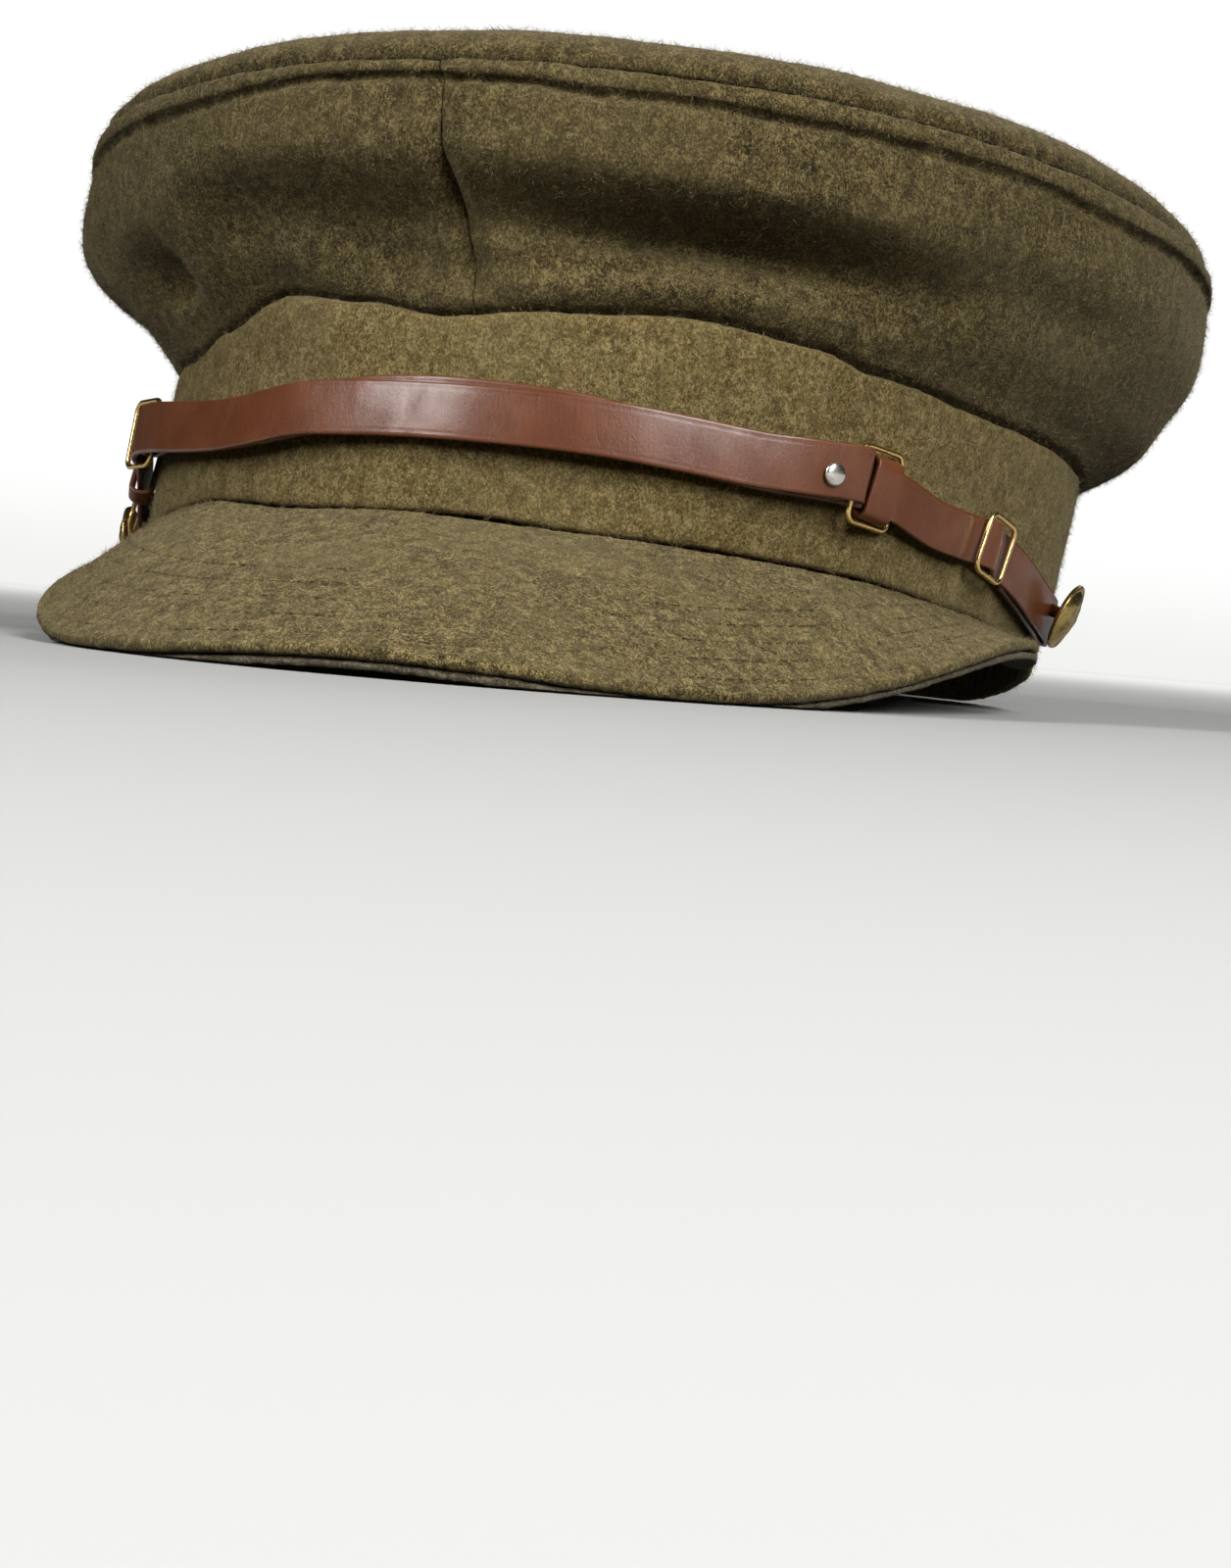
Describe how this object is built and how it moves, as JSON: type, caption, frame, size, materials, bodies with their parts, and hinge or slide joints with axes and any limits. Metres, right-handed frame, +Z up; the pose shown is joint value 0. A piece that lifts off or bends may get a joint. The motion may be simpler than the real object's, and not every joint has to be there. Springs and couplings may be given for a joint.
{
  "type": "trench cap",
  "caption": "Soft peaked wool cap with a full crown, a cloth-covered peak and a leather chin strap held by two domed buttons.",
  "frame": {"origin": "middle of the cap's bounding box, on the surface it rests on", "axes": "-Y towards the peak, +X towards the wearer's left, +Z up"},
  "size_m": [0.2224, 0.3018, 0.1081],
  "materials": {
    "wool": "felted wool cloth with a short fuzz",
    "peak_lining": "felted wool cloth, greyer",
    "lining": "matt dark olive",
    "strap_leather": "polished red-brown",
    "brass": "worn, polished on the high spots",
    "nickel": "worn"
  },
  "bodies": {
    "root": {"crown_top": "wool", "crown_front_left": "wool", "crown_rear_left": "wool", "crown_rear_right": "wool", "crown_front_right": "wool", "band": "wool", "sweatband": "lining", "peak_top": "wool", "peak_under": "peak_lining", "strap_outer": "strap_leather", "strap_inner": "strap_leather", "slide_left_upper": "brass", "slide_left_lower": "brass", "slide_right_upper": "brass", "slide_right_lower": "brass", "keeper_left": "strap_leather", "keeper_right": "strap_leather", "button_left": "brass", "button_right": "brass", "rivet": "nickel"}
  },
  "joints": []
}
